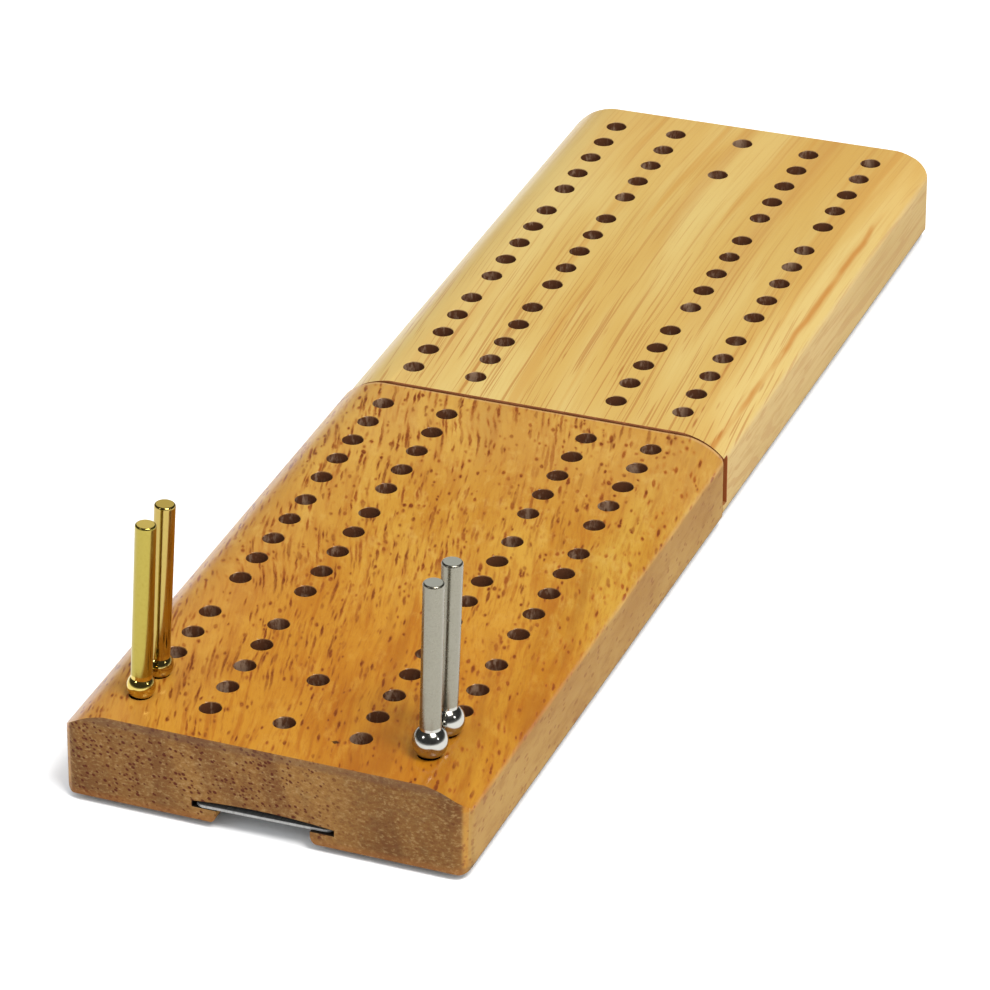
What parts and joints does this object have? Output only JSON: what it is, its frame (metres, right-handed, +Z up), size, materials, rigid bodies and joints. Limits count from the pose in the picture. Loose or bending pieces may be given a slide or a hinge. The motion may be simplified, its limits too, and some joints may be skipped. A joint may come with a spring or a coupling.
{
  "type": "folding cribbage board",
  "caption": "Folding wooden peg-scoring board: two round-topped halves hinged under the seam, rows of peg holes, sliding metal covers over peg stores underneath, and turned metal pegs.",
  "frame": {"origin": "middle of the open board, level with the lowest point of the hinge knuckles", "axes": "+X across the board to the right, +Y along it from the near end to the far end, +Z up out of the playing surface"},
  "size_m": [0.0622, 0.2176, 0.0421],
  "materials": {
    "honey_wood": "clear gloss lacquer on the top, raw end grain",
    "pale_wood": "clear gloss lacquer on the top, raw end grain",
    "cover_steel": "plain rolled sheet",
    "hinge_brass": "satin",
    "pin_steel": "satin",
    "screw_brass": "satin",
    "peg_gold": "polished",
    "peg_silver": "satin nickel shank, polished ball"
  },
  "bodies": {
    "near_board": {"near_half": "honey_wood", "left_hinge_near_leaf": "hinge_brass", "right_hinge_near_leaf": "hinge_brass", "left_hinge_pin": "pin_steel", "right_hinge_pin": "pin_steel", "near_hinge_screws": "screw_brass"},
    "far_board": {"far_half": "pale_wood", "left_hinge_far_leaf": "hinge_brass", "right_hinge_far_leaf": "hinge_brass", "far_hinge_screws": "screw_brass"},
    "near_cover": {"near_slide_cover": "cover_steel"},
    "far_cover": {"far_slide_cover": "cover_steel"},
    "gold_peg_a": {"gold_peg_1": "peg_gold"},
    "gold_peg_b": {"gold_peg_2": "peg_gold"},
    "silver_peg_a": {"silver_peg_1": "peg_silver"},
    "silver_peg_b": {"silver_peg_2": "peg_silver"}
  },
  "joints": [
    {"name": "board_fold", "type": "hinge", "parent": "near_board", "child": "far_board", "pos_m": [0, 0.0016, 0.0008], "axis": [-1, 0, 0], "range_deg": [0, 180]},
    {"name": "near_cover_slide", "type": "slide", "parent": "near_board", "child": "near_cover", "axis": [0, -1, 0], "range_m": [0, 0.085]},
    {"name": "far_cover_slide", "type": "slide", "parent": "far_board", "child": "far_cover", "axis": [0, 1, 0], "range_m": [0, 0.082]},
    {"name": "gold_peg_1_lift", "type": "slide", "parent": "near_board", "child": "gold_peg_a", "axis": [0.0443, 0.0161, 0.9989], "range_m": [0, 0.02]},
    {"name": "gold_peg_2_lift", "type": "slide", "parent": "near_board", "child": "gold_peg_b", "axis": [0.0508, 0.0185, 0.9985], "range_m": [0, 0.02]},
    {"name": "silver_peg_1_lift", "type": "slide", "parent": "near_board", "child": "silver_peg_a", "axis": [0.0213, 0.0078, 0.9997], "range_m": [0, 0.02]},
    {"name": "silver_peg_2_lift", "type": "slide", "parent": "near_board", "child": "silver_peg_b", "axis": [0.0312, 0.0113, 0.9995], "range_m": [0, 0.02]}
  ]
}
